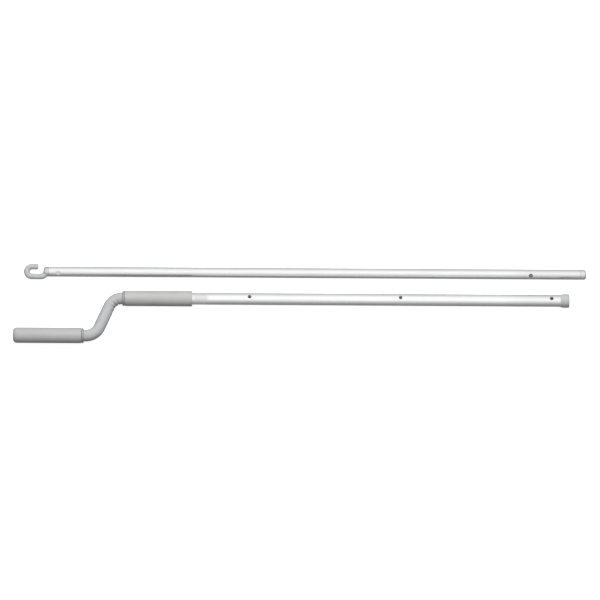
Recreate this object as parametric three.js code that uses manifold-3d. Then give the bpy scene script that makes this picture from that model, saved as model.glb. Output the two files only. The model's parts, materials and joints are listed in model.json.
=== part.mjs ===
// A two-section hand crank pole, taken apart and lying flat: the crank section with its two turning grips,
// and beside it the hook rod, which plugs into the collar and locks with a sprung button.
// Millimetres, +Z up. +X runs along both sections towards the collar, +Y from the crank section to the rod.
// The origin is under the middle of the object, on the surface that it lies on.
import * as THREE from "three";
import { mergeVertices } from "three/addons/utils/BufferGeometryUtils.js";
import Module from "manifold-3d";

// Overall
const HALF_LENGTH = 596.2;
const SECTION_SPACING = 60.4;
const GAP = 0.3;
const EDGE = 0.5;

// Crank arm: a tube bent into two parallel legs
const TUBE_R = 12.5;
const TUBE_BORE_R = 11;
const CRANK_THROW = 82.9;
const BEND_R = 30;
const BEND_ANGLE = THREE.MathUtils.degToRad(67);
const BEND_START_X = -444.6;
const ARM_STEPS = 50;
const ARM_SIDES = 20;
const ARM_BORE_SIDES = 16;

// Grips
const GRIP_R = 16.25;
const GRIP_BORE_R = 14.6;
const GRIP_END_ROUND = 3;
const GRIP_END_WALL = 4;
const LOWER_GRIP_LENGTH = 147;
const UPPER_GRIP_LENGTH = 145.2;
const UPPER_GRIP_X = -369.9;
const LINER_R = 14.3;
const LINER_BORE_R = TUBE_R + GAP;
const FLANGE_R = 15.9;
const FLANGE_TAPER_R = 14.4;
const FLANGE_LENGTH = 4.2;
const FLANGE_TAPER = 1.8;
const FLANGE_DROP = 0.6;
const FLANGE_SEAM = 0.8;
const SLEEVE_LIP_R = 13;
const SLEEVE_LIP_LENGTH = 2.5;

// Keeper of the lower grip: plug, washer and screw in the end of the leg
const ARM_LEFT_X = -583.5;
const END_PLUG_LENGTH = 26;
const END_PLUG_HEAD = 3;
const END_PLUG_RELIEF = 1;
const END_PLUG_NOSE = 2;
const WASHER_R = 14;
const WASHER_THICKNESS = 1.5;
const SCREW_R = 2.2;
const SCREW_LENGTH = 22;
const SCREW_POINT = 2;
const SCREW_HOLE_SPARE = 1;
const SCREW_HEAD_R = 4.5;
const SCREW_HEAD_HEIGHT = 2.7;
const SCREW_HEAD_ROUND = 1.7;
const SCREW_SLOT = { depth: 1.5, width: 1, length: 5 };

// Joint of the arm and the straight tube, under the upper grip
const JOINT_X = -285;
const JOINT_SPACE = 1.5;
const JOINT_SLEEVE_HALF = 50;
const JOINT_SLEEVE_BORE_R = 8.7;
const JOINT_PIN_OFFSET = 25;
const JOINT_PIN_R = 2.5;
const JOINT_PIN_BORE_R = 1.5;
const JOINT_PIN_HALF = 12.1;
const JOINT_PIN_SLOT = THREE.MathUtils.degToRad(22);

// Straight tube
const MOUTH_X = 561;
const LOCK_PITCH = 314.4;
const LOCK_LAST_X = MOUTH_X - 37.2;
const LOCK_HOLE_R = 3.6;
const LOCK_HOLE_LEAN = THREE.MathUtils.degToRad(3.75);
const RING_OFFSETS = [7.9, 17.2, 28.7];
const RING_DEPTH = 0.25;
const RING_HALF = 1.3;
const KEEPER_GROOVE_R = 11.95;
const KEEPER_THICKNESS = 1.2;
const KEEPER_R = 14;
const KEEPER_MOUTH = THREE.MathUtils.degToRad(16);

// Collar on the tube's open end
const COLLAR_LENGTH = 18.6;
const COLLAR_R = 14.5;
const COLLAR_BACK_R = 13.1;
const COLLAR_BACK_BEVEL = { length: 1.4, rise: 0.5 };
const COLLAR_FACE_R = 13.5;
const COLLAR_FACE_BEVEL = 0.9;
const COLLAR_LIP = 3;
const COLLAR_BORE_R = 10.8;
const COLLAR_SWELL_ANGLE = THREE.MathUtils.degToRad(117);
const COLLAR_SWELL_STEPS = 5;

// Hook rod
const ROD_R = 10.5;
const ROD_BORE_R = 9.3;
const ROD_LEFT_X = -524.4;
const TIP_LENGTH = 11.1;
const TIP_ROUND = 2.2;
const TIP_RELIEF = 0.1;
const TIP_SPIGOT_LENGTH = 20;
const TIP_SPIGOT_TAPER = 1;
const BUTTON_X = HALF_LENGTH - 115.2;
const BUTTON_TILT = THREE.MathUtils.degToRad(35.5);
const BUTTON_HOLE_R = 3.9;
const DIMPLE_X = ROD_LEFT_X + 19.7;
const DIMPLE_TILT = THREE.MathUtils.degToRad(37);
const DIMPLE_BALL_R = 11;
const DIMPLE_DEPTH = 1.15;

// Hook
const HOOK_BAR_R = 6;
const HOOK_R = 10.9;
const HOOK_LEFT_X = -576.3;
const HOOK_TIP_X = -545.9;
const HOOK_LEG_X = -541.5;
const HOOK_NECK_ANGLE = THREE.MathUtils.degToRad(55);
const HOOK_SHANK_X = -482;
const HOOK_STEPS = 46;
const PLUG_HEAD_LENGTH = 10.9;
const PLUG_HEAD_R = 10.3;
const PLUG_FACE = { length: 7, drop: 5, steps: 4 };
const PLUG_SPIGOT_END_X = -488;

// Snap button and its leaf spring, sizes measured out from the rod's axis
const BUTTON_R = 3.3;
const BUTTON_TOP = ROD_R + 4;
const BUTTON_DOME = 2.4;
const BUTTON_DOME_STEPS = 4;
const BUTTON_TAIL_R = 1.5;
const BUTTON_RIVET = 1;
const LEAF_HEIGHT = 7.4;
const LEAF_THICKNESS = 0.8;
const LEAF_WIDTH = 7;
const LEAF_OVERHANG = 9;
const LEAF_REACH = 52;
const LEAF_BEND_R = 2.6;
const LEAF_BEND_STEPS = 6;
const LEAF_HOLE_R = BUTTON_TAIL_R + GAP;

const ROUND = 28;
const MEDIUM_ROUND = 24;
const HOLE_ROUND = 20;
const SMALL_ROUND = 16;
const CORNER_STEPS = 4;
const MERGE_DISTANCE = 1e-4;
const HALF_TURN = Math.PI;
const QUARTER_TURN = Math.PI / 2;

const wasm = await Module();
wasm.setup();

// --- Solids --------------------------------------------------------------------------------------------

function solidOf(geometry) {
  const bare = geometry.clone();
  bare.deleteAttribute("normal");
  bare.deleteAttribute("uv");
  const merged = mergeVertices(bare, MERGE_DISTANCE);
  return new wasm.Manifold(
    new wasm.Mesh({
      numProp: 3,
      vertProperties: merged.attributes.position.array,
      triVerts: new Uint32Array(merged.index.array),
    }),
  );
}

function geometryOf(solid) {
  const mesh = solid.getMesh();
  const geometry = new THREE.BufferGeometry();
  geometry.setAttribute("position", new THREE.BufferAttribute(mesh.vertProperties, 3));
  geometry.setIndex(new THREE.BufferAttribute(mesh.triVerts, 1));
  geometry.computeVertexNormals();
  return geometry;
}

// Turns an outline of [x, radius] points about the X axis. It starts and ends on the axis, or is closed here.
function turned(outline, segments = ROUND) {
  const points = outline.map(([x, radius]) => new THREE.Vector2(radius, x));
  const startsOnAxis = outline[0][1] === 0;
  if (!startsOnAxis) points.push(points[0].clone());
  const geometry = new THREE.LatheGeometry(points, segments);
  return solidOf(geometry.rotateZ(-QUARTER_TURN));
}

// A plain rod along Z, centred on the origin.
function upright(radius, length, segments = SMALL_ROUND) {
  return new THREE.CylinderGeometry(radius, radius, length, segments).rotateX(QUARTER_TURN);
}

// A flat path as a curve in space.
class FlatCurve extends THREE.Curve {
  constructor(path) {
    super();
    this.path = path;
  }

  getPoint(t, target = new THREE.Vector3()) {
    const point = this.path.getPoint(t);
    return target.set(point.x, point.y, 0);
  }
}

// A round bar along a flat path. An arc is drawn with two sides for each of its curve segments.
function swept(path, radius, steps, sides) {
  const circle = new THREE.Shape().absarc(0, 0, radius, 0, 2 * HALF_TURN, false);
  const curveSegments = sides / 2;
  const options = { extrudePath: new FlatCurve(path), steps, curveSegments, bevelEnabled: false };
  return solidOf(new THREE.ExtrudeGeometry(circle, options));
}

// Rounded corner of a turned outline, as points from angle start to angle end about (x, radius).
function corner(x, radius, size, start, end) {
  return Array.from({ length: CORNER_STEPS + 1 }, (_, i) => {
    const angle = start + ((end - start) * i) / CORNER_STEPS;
    return [x + size * Math.cos(angle), radius + size * Math.sin(angle)];
  });
}

// --- Materials -----------------------------------------------------------------------------------------

const finish = (color, roughness, metalness) => ({ color, roughness, metalness });
const ALUMINIUM = finish(0xd8dadc, 0.28, 1);
const GREY_COAT = finish(0xb3b5b8, 0.55, 0);
const GREY_GRIP = finish(0xaaaaa7, 0.8, 0);
const HARD_PLASTIC = finish(0xa2a4a6, 0.5, 0);
const COLLAR_PLASTIC = finish(0xb4b6b9, 0.6, 0);
const ZINC_STEEL = finish(0xb4b7bd, 0.4, 1);
const PLUG_METAL = finish(0x96999c, 0.5, 1);
const BUTTON_STEEL = finish(0x6a6c6f, 0.35, 1);
const SPRING_STEEL = finish(0x8f9296, 0.35, 1);

function piece(name, solid, look) {
  const mesh = new THREE.Mesh(geometryOf(solid), new THREE.MeshStandardMaterial(look));
  mesh.name = name;
  return mesh;
}

// --- Crank section -------------------------------------------------------------------------------------

const bendStraight = (CRANK_THROW - 2 * BEND_R * (1 - Math.cos(BEND_ANGLE))) / Math.sin(BEND_ANGLE);
const bendSpan = 2 * BEND_R * Math.sin(BEND_ANGLE) + bendStraight * Math.cos(BEND_ANGLE);
const bendEndX = BEND_START_X + bendSpan;

// The arm's centre line: lower leg, S-bend, upper leg on the X axis. It can run past both ends, for the bore.
// The upper leg stops short of the straight tube, so that the joint closes on the sleeve and not on the ends.
function armPath(overrun) {
  const path = new THREE.Path();
  path.moveTo(ARM_LEFT_X - overrun, -CRANK_THROW);
  path.lineTo(BEND_START_X, -CRANK_THROW);
  path.absarc(BEND_START_X, BEND_R - CRANK_THROW, BEND_R, -QUARTER_TURN, BEND_ANGLE - QUARTER_TURN, false);
  path.absarc(bendEndX, -BEND_R, BEND_R, QUARTER_TURN + BEND_ANGLE, QUARTER_TURN, true);
  path.lineTo(JOINT_X - JOINT_SPACE + overrun, 0);
  return path;
}

const jointPinXs = { arm: JOINT_X - JOINT_PIN_OFFSET, tube: JOINT_X + JOINT_PIN_OFFSET };

function jointPinHole(x) {
  return solidOf(upright(JOINT_PIN_R + GAP, 4 * TUBE_R).translate(x, 0, 0));
}

function crankArm() {
  const outside = swept(armPath(0), TUBE_R, ARM_STEPS, ARM_SIDES);
  const bore = swept(armPath(1), TUBE_BORE_R, ARM_STEPS, ARM_BORE_SIDES);
  return outside.subtract(bore).subtract(jointPinHole(jointPinXs.arm));
}

const gripMouthX = UPPER_GRIP_X + UPPER_GRIP_LENGTH;
const keeperX = gripMouthX - SLEEVE_LIP_LENGTH - GAP - KEEPER_THICKNESS;

// One side of the tube's wall. The rolled rings dent both sides of it.
function tubeWall(radius, startX, endX) {
  const wall = [[startX, radius]];
  for (const offset of RING_OFFSETS) {
    const x = gripMouthX + offset;
    wall.push([x - RING_HALF, radius]);
    wall.push([x - RING_HALF / 2, radius - RING_DEPTH]);
    wall.push([x + RING_HALF / 2, radius - RING_DEPTH]);
    wall.push([x + RING_HALF, radius]);
  }
  wall.push([endX, radius]);
  return wall;
}

// The lock holes lean a little towards +Y.
function outerTube() {
  const startX = JOINT_X + GAP;
  const endX = MOUTH_X - COLLAR_LIP - GAP;
  const outside = tubeWall(TUBE_R, startX, endX);
  const keeperGroove = [
    [keeperX - GAP, TUBE_R],
    [keeperX - GAP, KEEPER_GROOVE_R],
    [keeperX + KEEPER_THICKNESS + GAP, KEEPER_GROOVE_R],
    [keeperX + KEEPER_THICKNESS + GAP, TUBE_R],
  ];
  outside.splice(1, 0, ...keeperGroove);
  const inside = tubeWall(TUBE_BORE_R, startX, endX).reverse();
  let tube = turned([...outside, ...inside]).subtract(jointPinHole(jointPinXs.tube));
  for (const step of [0, 1, 2]) {
    const hole = upright(LOCK_HOLE_R, TUBE_R, HOLE_ROUND).translate(0, 0, TUBE_R).rotateX(-LOCK_HOLE_LEAN);
    tube = tube.subtract(solidOf(hole.translate(LOCK_LAST_X - step * LOCK_PITCH, 0, 0)));
  }
  return tube;
}

function jointSleeve() {
  const outsideR = TUBE_BORE_R - GAP;
  const sleeve = turned(
    [
      [JOINT_X - JOINT_SLEEVE_HALF, outsideR],
      [JOINT_X + JOINT_SLEEVE_HALF, outsideR],
      [JOINT_X + JOINT_SLEEVE_HALF, JOINT_SLEEVE_BORE_R],
      [JOINT_X - JOINT_SLEEVE_HALF, JOINT_SLEEVE_BORE_R],
    ],
    MEDIUM_ROUND,
  );
  return sleeve.subtract(jointPinHole(jointPinXs.arm)).subtract(jointPinHole(jointPinXs.tube));
}

// A ring with a slot on its +X side, drawn flat.
function slottedRing(outerR, innerR, slotAngle) {
  const shape = new THREE.Shape();
  shape.absarc(0, 0, outerR, slotAngle, 2 * HALF_TURN - slotAngle, false);
  shape.absarc(0, 0, innerR, 2 * HALF_TURN - slotAngle, slotAngle, true);
  return shape;
}

function jointPin(x) {
  const section = slottedRing(JOINT_PIN_R, JOINT_PIN_BORE_R, JOINT_PIN_SLOT);
  const options = { depth: 2 * JOINT_PIN_HALF, curveSegments: SMALL_ROUND / 2, bevelEnabled: false };
  return solidOf(new THREE.ExtrudeGeometry(section, options).translate(x, 0, -JOINT_PIN_HALF));
}

function upperRetainingRing() {
  const section = slottedRing(KEEPER_R, KEEPER_GROOVE_R + GAP, KEEPER_MOUTH);
  const options = { depth: KEEPER_THICKNESS, curveSegments: ROUND / 2, bevelEnabled: false };
  const ring = new THREE.ExtrudeGeometry(section, options);
  return solidOf(ring.rotateY(QUARTER_TURN).translate(keeperX, 0, 0));
}

// The collar swells from its back and is thickest a little behind its face.
function mouthCollar() {
  const backX = MOUTH_X - COLLAR_LENGTH;
  const lipX = MOUTH_X - COLLAR_LIP;
  const barrelX = backX + COLLAR_BACK_BEVEL.length;
  const barrelR = COLLAR_BACK_R + COLLAR_BACK_BEVEL.rise;
  const barrelLength = MOUTH_X - COLLAR_FACE_BEVEL - barrelX;
  const barrel = Array.from({ length: COLLAR_SWELL_STEPS + 1 }, (_, i) => {
    const along = i / COLLAR_SWELL_STEPS;
    const swell = Math.sin(COLLAR_SWELL_ANGLE * along) * (COLLAR_R - barrelR);
    return [barrelX + along * barrelLength, barrelR + swell];
  });
  return turned([
    [backX, COLLAR_BACK_R],
    ...barrel,
    [MOUTH_X, COLLAR_FACE_R],
    [MOUTH_X, COLLAR_BORE_R + EDGE],
    [MOUTH_X - EDGE, COLLAR_BORE_R],
    [lipX, COLLAR_BORE_R],
    [lipX, TUBE_R + GAP],
    [backX, TUBE_R + GAP],
  ]);
}

// --- Keeper of the lower grip, drawn on its own axis ---------------------------------------------------

function lowerEndPlug() {
  const headR = TUBE_BORE_R - GAP;
  const headX = ARM_LEFT_X + END_PLUG_HEAD;
  const bodyR = headR - END_PLUG_RELIEF;
  const noseX = ARM_LEFT_X + END_PLUG_LENGTH;
  const holeR = SCREW_R + GAP;
  const holeEndX = ARM_LEFT_X + SCREW_LENGTH + SCREW_HOLE_SPARE;
  return turned(
    [
      [noseX, 0],
      [holeEndX, 0],
      [holeEndX, holeR],
      [ARM_LEFT_X, holeR],
      [ARM_LEFT_X, headR],
      [headX, headR],
      [headX + END_PLUG_RELIEF, bodyR],
      [noseX - END_PLUG_NOSE, bodyR],
      [noseX, bodyR - END_PLUG_NOSE],
      [noseX, 0],
    ],
    MEDIUM_ROUND,
  );
}

const washerX = ARM_LEFT_X - GAP - WASHER_THICKNESS;

function lowerEndWasher() {
  const holeR = SCREW_R + GAP;
  return turned(
    [
      [washerX, holeR],
      [washerX, WASHER_R],
      [washerX + WASHER_THICKNESS, WASHER_R],
      [washerX + WASHER_THICKNESS, holeR],
    ],
    MEDIUM_ROUND,
  );
}

function lowerEndScrew() {
  const seatX = washerX - GAP;
  const topX = seatX - SCREW_HEAD_HEIGHT;
  const roundR = SCREW_HEAD_R - SCREW_HEAD_ROUND;
  const screw = turned(
    [
      [topX, 0],
      ...corner(topX + SCREW_HEAD_ROUND, roundR, SCREW_HEAD_ROUND, HALF_TURN, QUARTER_TURN),
      [seatX, SCREW_HEAD_R],
      [seatX, SCREW_R],
      [ARM_LEFT_X + SCREW_LENGTH - SCREW_POINT, SCREW_R],
      [ARM_LEFT_X + SCREW_LENGTH, 0],
    ],
    SMALL_ROUND,
  );
  const slotSize = [2 * SCREW_SLOT.depth, SCREW_SLOT.width, SCREW_SLOT.length];
  const slots = [0, QUARTER_TURN].map((turn) => new THREE.BoxGeometry(...slotSize).rotateX(turn));
  return slots.reduce((cut, slot) => cut.subtract(solidOf(slot.translate(topX, 0, 0))), screw);
}

// --- Grips, drawn on their own axes --------------------------------------------------------------------

// A hard liner with a flange at one end. side is 1 where the flange is at the +X end, -1 at the -X end.
function gripLiner(flangeX, farX, side) {
  const seatX = flangeX - side * FLANGE_LENGTH;
  const outline = [
    [farX, LINER_BORE_R],
    [farX, LINER_R],
    [seatX, LINER_R],
    [seatX, FLANGE_R],
    [flangeX - side * FLANGE_TAPER, FLANGE_R],
    [flangeX - (side * FLANGE_TAPER) / 2, FLANGE_R - FLANGE_DROP],
    [flangeX, FLANGE_TAPER_R],
    [flangeX, LINER_BORE_R],
  ];
  return turned(side > 0 ? outline : outline.reverse());
}

const lowerGripEndX = -HALF_LENGTH + LOWER_GRIP_LENGTH;
const seamLength = FLANGE_LENGTH + FLANGE_SEAM;

function lowerGripSleeve() {
  const mouthX = lowerGripEndX - seamLength;
  const bottomX = -HALF_LENGTH + GRIP_END_WALL;
  const cornerX = -HALF_LENGTH + GRIP_END_ROUND;
  return turned([
    [-HALF_LENGTH, 0],
    ...corner(cornerX, GRIP_R - GRIP_END_ROUND, GRIP_END_ROUND, HALF_TURN, QUARTER_TURN),
    [mouthX - EDGE, GRIP_R],
    [mouthX, GRIP_R - EDGE],
    [mouthX, GRIP_BORE_R],
    [bottomX, GRIP_BORE_R],
    [bottomX, 0],
  ]);
}

function upperGripSleeve() {
  const seamX = UPPER_GRIP_X + seamLength;
  const lipX = gripMouthX - SLEEVE_LIP_LENGTH;
  return turned([
    [seamX, GRIP_BORE_R],
    [seamX, GRIP_R - EDGE],
    [seamX + EDGE, GRIP_R],
    [gripMouthX - EDGE, GRIP_R],
    [gripMouthX, GRIP_R - EDGE],
    [gripMouthX, SLEEVE_LIP_R],
    [lipX, SLEEVE_LIP_R],
    [lipX, GRIP_BORE_R],
  ]);
}

// --- Hook rod, drawn on its own axis -------------------------------------------------------------------

// Turns something drawn along +Z to point out of the rod, leaning towards -Y.
const leaned = (geometry, tilt) => geometry.rotateX(tilt);

function dimpleBall(extra) {
  const ball = new THREE.SphereGeometry(DIMPLE_BALL_R + extra, MEDIUM_ROUND, SMALL_ROUND);
  const height = ROD_R - DIMPLE_DEPTH + DIMPLE_BALL_R;
  const raised = ball.rotateX(QUARTER_TURN).translate(0, 0, height);
  return solidOf(leaned(raised, DIMPLE_TILT).translate(DIMPLE_X, 0, 0));
}

function rodTube() {
  const endX = HALF_LENGTH - TIP_LENGTH - GAP;
  const tube = turned([
    [ROD_LEFT_X, ROD_R],
    [endX, ROD_R],
    [endX, ROD_BORE_R],
    [ROD_LEFT_X, ROD_BORE_R],
  ]);
  const wall = ROD_R - ROD_BORE_R;
  const filling = turned([
    [DIMPLE_X - DIMPLE_BALL_R, 0],
    [DIMPLE_X - DIMPLE_BALL_R, ROD_BORE_R + wall / 2],
    [DIMPLE_X + DIMPLE_BALL_R, ROD_BORE_R + wall / 2],
    [DIMPLE_X + DIMPLE_BALL_R, 0],
  ]);
  const bulge = dimpleBall(wall).intersect(filling);
  const hole = upright(BUTTON_HOLE_R, ROD_R, HOLE_ROUND).translate(0, 0, ROD_R);
  const buttonHole = solidOf(leaned(hole, BUTTON_TILT).translate(BUTTON_X, 0, 0));
  return tube.add(bulge).subtract(dimpleBall(0)).subtract(buttonHole);
}

const neckR = HOOK_R / (2 * (1 - Math.cos(HOOK_NECK_ANGLE)));
const neckStartX = HOOK_LEG_X + 2 * neckR * Math.sin(HOOK_NECK_ANGLE);
const hookBowlX = HOOK_LEFT_X + HOOK_BAR_R + HOOK_R;

// The bar's centre line: shank on the axis, neck down to the lower leg, half a turn, upper arm to the tip.
function hookPath() {
  const path = new THREE.Path();
  path.moveTo(HOOK_SHANK_X, 0);
  path.lineTo(neckStartX, 0);
  path.absarc(neckStartX, -neckR, neckR, QUARTER_TURN, QUARTER_TURN + HOOK_NECK_ANGLE, false);
  path.absarc(HOOK_LEG_X, neckR - HOOK_R, neckR, HOOK_NECK_ANGLE - QUARTER_TURN, -QUARTER_TURN, true);
  path.lineTo(hookBowlX, -HOOK_R);
  path.absarc(hookBowlX, 0, HOOK_R, -QUARTER_TURN, QUARTER_TURN, true);
  path.lineTo(HOOK_TIP_X, HOOK_R);
  return path;
}

function hook() {
  return swept(hookPath(), HOOK_BAR_R, HOOK_STEPS, SMALL_ROUND);
}

function hookPlug() {
  const headX = ROD_LEFT_X - GAP;
  const faceX = headX - PLUG_HEAD_LENGTH;
  const spigotR = ROD_BORE_R - GAP;
  const face = Array.from({ length: PLUG_FACE.steps + 1 }, (_, i) => {
    const angle = (QUARTER_TURN * i) / PLUG_FACE.steps;
    const x = faceX + PLUG_FACE.length * (1 - Math.cos(angle));
    return [x, PLUG_HEAD_R - PLUG_FACE.drop * (1 - Math.sin(angle))];
  });
  const plug = turned([
    [faceX, 0],
    ...face,
    [headX, PLUG_HEAD_R],
    [headX, spigotR],
    [PLUG_SPIGOT_END_X, spigotR],
    [PLUG_SPIGOT_END_X, 0],
  ]);
  const barWay = swept(hookPath(), HOOK_BAR_R + GAP, HOOK_STEPS, SMALL_ROUND);
  return plug.subtract(barWay).subtract(dimpleBall(ROD_R - ROD_BORE_R + GAP));
}

function tipPlug() {
  const seatX = HALF_LENGTH - TIP_LENGTH;
  const spigotR = ROD_BORE_R - GAP;
  const tipR = ROD_R - TIP_RELIEF;
  return turned([
    [seatX - TIP_SPIGOT_LENGTH, 0],
    [seatX - TIP_SPIGOT_LENGTH, spigotR - TIP_SPIGOT_TAPER],
    [seatX - TIP_SPIGOT_LENGTH + TIP_SPIGOT_TAPER, spigotR],
    [seatX, spigotR],
    [seatX, tipR],
    ...corner(HALF_LENGTH - TIP_ROUND, tipR - TIP_ROUND, TIP_ROUND, QUARTER_TURN, 0),
    [HALF_LENGTH, 0],
  ]);
}

// --- Snap button and leaf spring, drawn upright and leaned to the button's hole ------------------------

function snapButton() {
  const footZ = LEAF_HEIGHT + LEAF_THICKNESS / 2 + GAP;
  const leafUnderZ = LEAF_HEIGHT - LEAF_THICKNESS / 2 - GAP;
  const domeZ = BUTTON_TOP - BUTTON_DOME;
  const rivetR = BUTTON_TAIL_R + BUTTON_RIVET;
  const dome = Array.from({ length: BUTTON_DOME_STEPS }, (_, i) => {
    const angle = (QUARTER_TURN * i) / BUTTON_DOME_STEPS;
    return [domeZ + BUTTON_DOME * Math.sin(angle), BUTTON_R * Math.cos(angle)];
  });
  return turned(
    [
      [leafUnderZ - BUTTON_RIVET, 0],
      [leafUnderZ - BUTTON_RIVET, rivetR],
      [leafUnderZ, rivetR],
      [leafUnderZ, BUTTON_TAIL_R],
      [footZ, BUTTON_TAIL_R],
      [footZ, BUTTON_R],
      ...dome,
      [BUTTON_TOP, 0],
    ],
    HOLE_ROUND,
  );
}

// The leaf's centre line in (x, height): upper leaf with the button, round bend, lower leaf on the far wall.
function leafLine() {
  const bendX = -LEAF_REACH;
  const line = [
    [LEAF_OVERHANG, LEAF_HEIGHT],
    [-LEAF_OVERHANG, LEAF_HEIGHT],
  ];
  for (let step = 0; step <= LEAF_BEND_STEPS; step += 1) {
    const angle = QUARTER_TURN + (HALF_TURN * step) / LEAF_BEND_STEPS;
    line.push([bendX + LEAF_BEND_R * Math.cos(angle), LEAF_BEND_R * Math.sin(angle)]);
  }
  line.push([-LEAF_OVERHANG, -LEAF_HEIGHT], [LEAF_OVERHANG, -LEAF_HEIGHT]);
  return line.map(([x, height]) => new THREE.Vector2(x, height));
}

// A strip of even thickness about a line of points.
function strip(line, thickness) {
  const sides = [1, -1].map((side) =>
    line.map((point, i) => {
      const before = line[Math.max(i - 1, 0)];
      const after = line[Math.min(i + 1, line.length - 1)];
      const along = after.clone().sub(before).normalize();
      const across = new THREE.Vector2(-along.y, along.x);
      return point.clone().addScaledVector(across, (side * thickness) / 2);
    }),
  );
  return new THREE.Shape([...sides[0], ...sides[1].reverse()]);
}

function snapSpring() {
  const options = { depth: LEAF_WIDTH, bevelEnabled: false };
  const leaf = new THREE.ExtrudeGeometry(strip(leafLine(), LEAF_THICKNESS), options);
  leaf.translate(0, 0, -LEAF_WIDTH / 2).rotateX(QUARTER_TURN);
  const tailHole = upright(LEAF_HOLE_R, 4 * LEAF_THICKNESS).translate(0, 0, LEAF_HEIGHT);
  return solidOf(leaf).subtract(solidOf(tailHole));
}

// --- Assembly ------------------------------------------------------------------------------------------

const crankSpan = CRANK_THROW + GRIP_R;
const rodSpan = SECTION_SPACING + HOOK_R + HOOK_BAR_R;
const tubeY = (crankSpan - rodSpan) / 2;

const crankSection = new THREE.Group();
crankSection.position.set(0, tubeY, GRIP_R);
crankSection.add(
  piece("crank_arm", crankArm(), GREY_COAT),
  piece("outer_tube", outerTube(), ALUMINIUM),
  piece("joint_sleeve", jointSleeve(), ALUMINIUM),
  piece("joint_pin_arm", jointPin(jointPinXs.arm), SPRING_STEEL),
  piece("joint_pin_tube", jointPin(jointPinXs.tube), SPRING_STEEL),
  piece("upper_retaining_ring", upperRetainingRing(), SPRING_STEEL),
  piece("mouth_collar", mouthCollar(), COLLAR_PLASTIC),
  piece("upper_grip_liner", gripLiner(UPPER_GRIP_X, keeperX - 2 * GAP, -1), HARD_PLASTIC),
  piece("upper_grip_sleeve", upperGripSleeve(), GREY_GRIP),
);

const lowerLeg = new THREE.Group();
lowerLeg.position.set(0, -CRANK_THROW, 0);
lowerLeg.add(
  piece("lower_end_plug", lowerEndPlug(), HARD_PLASTIC),
  piece("lower_end_washer", lowerEndWasher(), ZINC_STEEL),
  piece("lower_end_screw", lowerEndScrew(), ZINC_STEEL),
  piece("lower_grip_liner", gripLiner(lowerGripEndX, ARM_LEFT_X + GAP, 1), HARD_PLASTIC),
  piece("lower_grip_sleeve", lowerGripSleeve(), GREY_GRIP),
);
crankSection.add(lowerLeg);

const hookRod = new THREE.Group();
hookRod.position.set(0, tubeY + SECTION_SPACING, ROD_R);
hookRod.add(
  piece("rod_tube", rodTube(), ALUMINIUM),
  piece("hook", hook(), ZINC_STEEL),
  piece("hook_plug", hookPlug(), PLUG_METAL),
  piece("tip_plug", tipPlug(), PLUG_METAL),
);

const snapLock = new THREE.Group();
snapLock.position.set(BUTTON_X, 0, 0);
snapLock.rotation.set(BUTTON_TILT, 0, 0);
const button = piece("snap_button", snapButton(), BUTTON_STEEL);
button.rotation.set(0, -QUARTER_TURN, 0);
snapLock.add(piece("snap_spring", snapSpring(), SPRING_STEEL), button);
hookRod.add(snapLock);

const crankPole = new THREE.Group();
crankPole.add(crankSection, hookRod);

export default crankPole;
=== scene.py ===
"""A two-section hand crank pole, taken apart and lying on a pale floor.

Metres, in the CAD frame: +X runs along both sections towards the collar, +Y from the crank section to the
hook rod, +Z up. Every CAD node is replaced by a finer piece that is built on its box.
"""

import json
import math
from types import SimpleNamespace

import bmesh
import bpy
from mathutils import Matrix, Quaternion, Vector


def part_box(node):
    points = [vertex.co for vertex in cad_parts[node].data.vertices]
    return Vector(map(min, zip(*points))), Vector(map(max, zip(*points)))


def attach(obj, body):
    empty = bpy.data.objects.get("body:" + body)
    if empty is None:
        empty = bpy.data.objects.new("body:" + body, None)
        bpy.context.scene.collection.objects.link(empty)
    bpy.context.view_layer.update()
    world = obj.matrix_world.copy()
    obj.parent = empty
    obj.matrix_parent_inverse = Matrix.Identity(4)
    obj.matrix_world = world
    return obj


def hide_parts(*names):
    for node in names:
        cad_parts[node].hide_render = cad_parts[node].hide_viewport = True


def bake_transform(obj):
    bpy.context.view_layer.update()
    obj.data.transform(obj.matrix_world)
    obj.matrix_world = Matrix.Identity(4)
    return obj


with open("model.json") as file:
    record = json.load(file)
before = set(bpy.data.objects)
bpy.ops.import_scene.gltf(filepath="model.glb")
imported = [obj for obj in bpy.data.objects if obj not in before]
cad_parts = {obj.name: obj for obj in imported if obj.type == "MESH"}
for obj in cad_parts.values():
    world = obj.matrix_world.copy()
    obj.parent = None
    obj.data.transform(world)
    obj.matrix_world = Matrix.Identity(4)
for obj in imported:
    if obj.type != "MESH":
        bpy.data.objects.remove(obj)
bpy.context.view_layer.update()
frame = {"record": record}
scene = bpy.context.scene

MM = 0.001
TINY = 1e-7
HALF_TURN = math.pi
QUARTER_TURN = math.pi / 2

# Fineness
TUBE_SIDES = 96
BAR_SIDES = 56
SMALL_SIDES = 40
BEND_RINGS = 190
HOOK_RINGS = 150
SHARP_ANGLE = math.radians(38)

# Crank section
TUBE_BORE_R = 11 * MM
BEND_R = 30 * MM
BEND_ANGLE = math.radians(67)
BEND_START = 138.9 * MM
BEND_FLAT = 0.3 * MM
RIPPLE_DEPTH = 0.3 * MM
CREASE_DEPTH = 2.6 * MM
CREASE_PITCH = 10.1 * MM
CREASE_SLANT = 4 * MM
CREASE_MIDDLE = math.radians(44)
CREASE_SPREAD = 0.85
LOCK_HOLES = 3
LOCK_PITCH = 314.4 * MM
LOCK_LAST = 37.2 * MM
LOCK_HOLE_R = 3.6 * MM
LOCK_HOLE_LEAN = math.radians(3.75)
RING_OFFSETS = [7.9 * MM, 17.2 * MM, 28.7 * MM]
RING_DEPTH = 0.25 * MM
RING_HALF = 1.3 * MM
KEEPER_GROOVE_R = 11.95 * MM
KEEPER_MOUTH = math.radians(16)
JOINT_PIN_OFFSET = 25 * MM
JOINT_PIN_R = 2.5 * MM
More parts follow.
